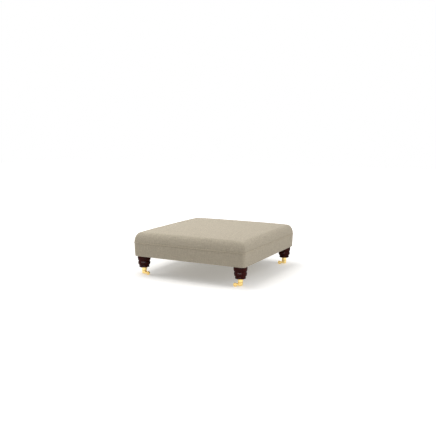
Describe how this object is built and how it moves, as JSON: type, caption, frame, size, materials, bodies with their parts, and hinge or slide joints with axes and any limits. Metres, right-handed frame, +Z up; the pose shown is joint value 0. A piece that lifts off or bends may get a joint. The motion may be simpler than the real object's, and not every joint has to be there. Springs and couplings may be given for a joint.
{
  "type": "footstool",
  "caption": "Low square upholstered footstool with a crowned cushion, piped border, turned wooden legs and swivelling brass castors.",
  "frame": {"origin": "on the floor under the middle of the stool", "axes": "+Z up, -Y the front, +Y along the slightly longer side"},
  "size_m": [0.96, 0.98, 0.352],
  "materials": {
    "linen": "oatmeal linen weave, matt",
    "mahogany": "dark red-brown mahogany, gloss varnish",
    "brass": "polished and lacquered brass",
    "pin_brass": "plain turned brass",
    "frame_wood": "planed beech, unfinished",
    "steel": "zinc-plated steel",
    "webbing": "woven jute webbing",
    "hessian": "open jute hessian",
    "foam": "open-cell seat foam",
    "wadding": "loose polyester wadding",
    "dust_cloth": "thin black non-woven cloth"
  },
  "bodies": {
    "stool": {"rail_front": "frame_wood", "rail_back": "frame_wood", "rail_left": "frame_wood", "rail_right": "frame_wood", "cross_rail": "frame_wood", "rail_dowels": "frame_wood", "corner_block_front_left": "frame_wood", "corner_block_front_right": "frame_wood", "corner_block_back_left": "frame_wood", "corner_block_back_right": "frame_wood", "corner_block_screws": "steel", "webbing_front_to_back": "webbing", "webbing_side_to_side": "webbing", "webbing_tacks": "steel", "hessian": "hessian", "foam_pad": "foam", "wadding": "wadding", "top_cover": "linen", "piping_cord": "linen", "border_wadding": "wadding", "border_panel": "linen", "dust_cover": "dust_cloth", "dust_cover_staples": "steel", "leg_front_left": "mahogany", "leg_front_right": "mahogany", "leg_back_left": "mahogany", "leg_back_right": "mahogany", "leg_bolts": "steel", "tee_nuts": "steel", "castor_cup_front_left": "brass", "castor_cup_front_right": "brass", "castor_cup_back_left": "brass", "castor_cup_back_right": "brass", "cup_screws": "brass", "pivot_washers": "steel", "kingpin_front_left": "pin_brass", "kingpin_front_right": "pin_brass", "kingpin_back_left": "pin_brass", "kingpin_back_right": "pin_brass"},
    "swivel_front_left": {"castor_horn_front_left": "brass", "axle_front_left": "pin_brass"},
    "swivel_front_right": {"castor_horn_front_right": "brass", "axle_front_right": "pin_brass"},
    "swivel_back_left": {"castor_horn_back_left": "brass", "axle_back_left": "pin_brass"},
    "swivel_back_right": {"castor_horn_back_right": "brass", "axle_back_right": "pin_brass"},
    "wheel_front_left": {"castor_wheel_front_left": "brass"},
    "wheel_front_right": {"castor_wheel_front_right": "brass"},
    "wheel_back_left": {"castor_wheel_back_left": "brass"},
    "wheel_back_right": {"castor_wheel_back_right": "brass"}
  },
  "joints": [
    {"name": "swivel_front_left", "type": "hinge", "parent": "stool", "child": "swivel_front_left", "pos_m": [-0.416, -0.426, 0.02], "axis": [0, 0, 1], "continuous": true},
    {"name": "swivel_front_right", "type": "hinge", "parent": "stool", "child": "swivel_front_right", "pos_m": [0.416, -0.426, 0.02], "axis": [0, 0, 1], "continuous": true},
    {"name": "swivel_back_left", "type": "hinge", "parent": "stool", "child": "swivel_back_left", "pos_m": [-0.416, 0.426, 0.02], "axis": [0, 0, 1], "continuous": true},
    {"name": "swivel_back_right", "type": "hinge", "parent": "stool", "child": "swivel_back_right", "pos_m": [0.416, 0.426, 0.02], "axis": [0, 0, 1], "continuous": true},
    {"name": "roll_front_left", "type": "hinge", "parent": "swivel_front_left", "child": "wheel_front_left", "pos_m": [-0.37828, -0.43063, 0.015], "axis": [0.1219, 0.9925, 0], "continuous": true},
    {"name": "roll_front_right", "type": "hinge", "parent": "swivel_front_right", "child": "wheel_front_right", "pos_m": [0.38214, -0.44325, 0.015], "axis": [0.454, -0.891, 0], "continuous": true},
    {"name": "roll_back_left", "type": "hinge", "parent": "swivel_back_left", "child": "wheel_back_left", "pos_m": [-0.45253, 0.41553, 0.015], "axis": [0.2756, -0.9613, 0], "continuous": true},
    {"name": "roll_back_right", "type": "hinge", "parent": "swivel_back_right", "child": "wheel_back_right", "pos_m": [0.38214, 0.40875, 0.015], "axis": [0.454, -0.891, 0], "continuous": true}
  ]
}
